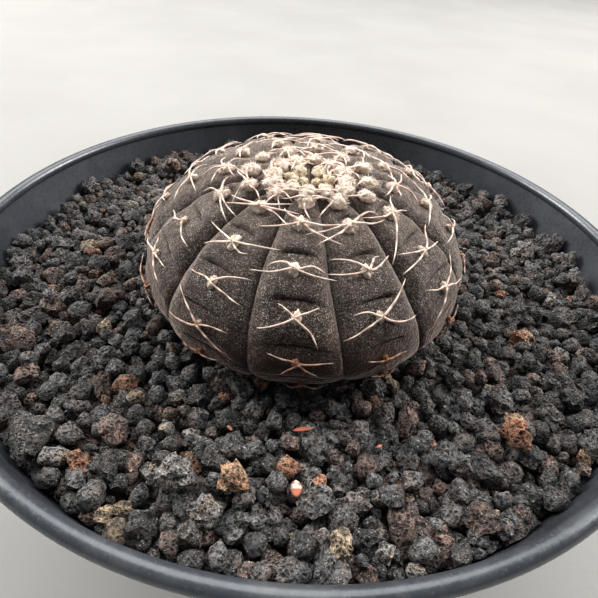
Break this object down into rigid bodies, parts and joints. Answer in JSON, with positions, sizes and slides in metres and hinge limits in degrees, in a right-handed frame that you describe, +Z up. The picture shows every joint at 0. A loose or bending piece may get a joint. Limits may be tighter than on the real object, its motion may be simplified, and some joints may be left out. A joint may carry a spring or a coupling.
{
  "type": "potted round cactus",
  "caption": "Low ribbed globular cactus with woolly spined areoles, set in dark lava grit in a round tapered black plastic pot with a rolled rim.",
  "frame": {"origin": "centre of the pot's base, on the surface it stands on", "axes": "+Z up along the pot's axis; the plant leans a little towards -Y, which is its front"},
  "size_m": [0.11, 0.11, 0.0913],
  "materials": {
    "black_plastic": "satin",
    "potting_mix": "matte",
    "lava_grit": "matte",
    "lava_rust": "matte",
    "lava_orange": "matte",
    "lava_grey": "matte",
    "lava_ochre": "matte",
    "lava_brown": "matte",
    "cactus_skin": "matte",
    "spines": "satin",
    "wool": "matte"
  },
  "bodies": {
    "root": {"pot": "black_plastic", "potting_mix": "potting_mix", "grit_top_dressing": "lava_grit", "loose_stone_rust": "lava_rust", "loose_stone_orange": "lava_orange", "loose_stone_grey": "lava_grey", "loose_stone_ochre": "lava_ochre", "loose_stone_brown": "lava_brown", "loose_stone_rear": "lava_brown", "cactus_stem": "cactus_skin", "crown_wool": "wool", "spines_rib01_row1": "spines", "spines_rib01_row2": "spines", "spines_rib01_row3": "spines", "spines_rib01_row4": "spines", "spines_rib02_row1": "spines", "spines_rib02_row2": "spines", "spines_rib02_row3": "spines", "spines_rib02_row4": "spines", "spines_rib03_row1": "spines", "spines_rib03_row2": "spines", "spines_rib03_row3": "spines", "spines_rib03_row4": "spines", "spines_rib04_row1": "spines", "spines_rib04_row2": "spines", "spines_rib04_row3": "spines", "spines_rib04_row4": "spines", "spines_rib05_row1": "spines", "spines_rib05_row2": "spines", "spines_rib05_row3": "spines", "spines_rib05_row4": "spines", "spines_rib06_row1": "spines", "spines_rib06_row2": "spines", "spines_rib06_row3": "spines", "spines_rib06_row4": "spines", "spines_rib07_row1": "spines", "spines_rib07_row2": "spines", "spines_rib07_row3": "spines", "spines_rib07_row4": "spines", "spines_rib08_row1": "spines", "spines_rib08_row2": "spines", "spines_rib08_row3": "spines", "spines_rib08_row4": "spines", "spines_rib09_row1": "spines", "spines_rib09_row2": "spines", "spines_rib09_row3": "spines", "spines_rib09_row4": "spines", "spines_rib10_row1": "spines", "spines_rib10_row2": "spines", "spines_rib10_row3": "spines", "spines_rib10_row4": "spines", "spines_rib11_row1": "spines", "spines_rib11_row2": "spines", "spines_rib11_row3": "spines", "spines_rib11_row4": "spines", "spines_rib12_row1": "spines", "spines_rib12_row2": "spines", "spines_rib12_row3": "spines", "spines_rib12_row4": "spines"}
  },
  "joints": []
}
